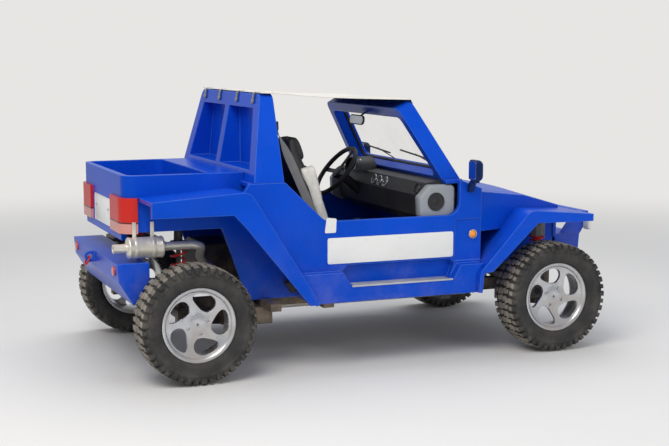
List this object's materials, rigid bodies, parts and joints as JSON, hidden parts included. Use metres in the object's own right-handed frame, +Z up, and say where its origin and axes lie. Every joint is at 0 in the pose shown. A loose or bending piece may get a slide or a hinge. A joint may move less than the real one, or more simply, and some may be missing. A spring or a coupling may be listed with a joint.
{
  "type": "dune buggy",
  "caption": "Open two-seat fun buggy with bent-sheet fenders, raked windscreen, roll hoop, stretched canopy, load bed and knobby tyres.",
  "frame": {"origin": "on the ground, at the centre of the bounding box's base, under the middle of the wheelbase", "axes": "+X to the driver's left, +Y to the rear, +Z up; the buggy's front faces -Y"},
  "size_m": [1.622, 2.95, 1.4837],
  "materials": {
    "body_blue": "gloss",
    "bumper_blue": "satin",
    "frame_black": "satin",
    "floor_black": "matte",
    "clear_glass": "gloss",
    "canopy_cloth": "matte",
    "lamp_clear": "gloss",
    "lamp_red": "gloss",
    "lamp_amber": "gloss",
    "dark_trim": "satin",
    "soft_black": "matte",
    "pod_grey": "matte",
    "seat_cloth": "matte",
    "cast_metal": "cast",
    "plain_metal": "satin",
    "exhaust_metal": "satin",
    "spring_red": "gloss",
    "wheel_silver": "satin",
    "tyre_rubber": "matte"
  },
  "bodies": {
    "chassis": {"chassis_frame": "frame_black", "floor_pan": "floor_black", "body_side_right": "body_blue", "body_side_left": "body_blue", "front_fenders": "body_blue", "rear_fenders": "body_blue", "front_shell": "body_blue", "nose_panel": "body_blue", "scuttle": "body_blue", "windscreen_frame": "body_blue", "windscreen_glass": "clear_glass", "roll_hoop": "body_blue", "canopy": "canopy_cloth", "rear_body": "body_blue", "front_bumper": "bumper_blue", "rear_bumper": "bumper_blue", "front_lamps": "lamp_clear", "tail_lamps": "lamp_red", "side_markers": "lamp_amber", "mirrors": "dark_trim", "dashboard": "dark_trim", "steering_column": "dark_trim", "speaker_pods": "pod_grey", "lever_console": "dark_trim", "seat_right": "seat_cloth", "seat_left": "seat_cloth", "engine_block": "cast_metal", "radiator": "plain_metal", "fuel_tank": "frame_black", "exhaust": "exhaust_metal", "front_arms": "frame_black", "rear_axle": "frame_black", "rear_springs": "spring_red"},
    "bonnet": {"bonnet": "body_blue"},
    "steering_wheel": {"steering_wheel": "soft_black"},
    "knuckle_right": {"knuckle_right": "cast_metal"},
    "knuckle_left": {"knuckle_left": "cast_metal"},
    "wheel_front_right": {"rim_front_right": "wheel_silver", "tyre_front_right": "tyre_rubber"},
    "wheel_front_left": {"rim_front_left": "wheel_silver", "tyre_front_left": "tyre_rubber"},
    "wheel_rear_right": {"rim_rear_right": "wheel_silver", "tyre_rear_right": "tyre_rubber"},
    "wheel_rear_left": {"rim_rear_left": "wheel_silver", "tyre_rear_left": "tyre_rubber"}
  },
  "joints": [
    {"name": "steer_left", "type": "hinge", "parent": "chassis", "child": "knuckle_left", "pos_m": [0.545, -1.05, 0.31], "axis": [0, 0, 1], "range_deg": [-28, 28]},
    {"name": "steer_right", "type": "hinge", "parent": "chassis", "child": "knuckle_right", "pos_m": [-0.545, -1.05, 0.31], "axis": [0, 0, 1], "range_deg": [-28, 28]},
    {"name": "steering_wheel_turn", "type": "hinge", "parent": "chassis", "child": "steering_wheel", "pos_m": [0.33, -0.15, 0.968], "axis": [0, 0.7771, 0.6293], "range_deg": [-450, 450]},
    {"name": "bonnet_lift", "type": "hinge", "parent": "chassis", "child": "bonnet", "pos_m": [0, -0.614, 0.957], "axis": [-1, 0, 0], "range_deg": [0, 55]},
    {"name": "spin_front_right", "type": "hinge", "parent": "knuckle_right", "child": "wheel_front_right", "pos_m": [-0.695, -1.05, 0.31], "axis": [1, 0, 0], "continuous": true},
    {"name": "spin_front_left", "type": "hinge", "parent": "knuckle_left", "child": "wheel_front_left", "pos_m": [0.695, -1.05, 0.31], "axis": [1, 0, 0], "continuous": true},
    {"name": "spin_rear_right", "type": "hinge", "parent": "chassis", "child": "wheel_rear_right", "pos_m": [-0.695, 1.05, 0.31], "axis": [1, 0, 0], "continuous": true},
    {"name": "spin_rear_left", "type": "hinge", "parent": "chassis", "child": "wheel_rear_left", "pos_m": [0.695, 1.05, 0.31], "axis": [1, 0, 0], "continuous": true}
  ],
  "couplings": [
    {"joint": "steer_right", "follows": "steer_left", "ratio": 1},
    {"joint": "steering_wheel_turn", "follows": "steer_left", "ratio": 16}
  ]
}
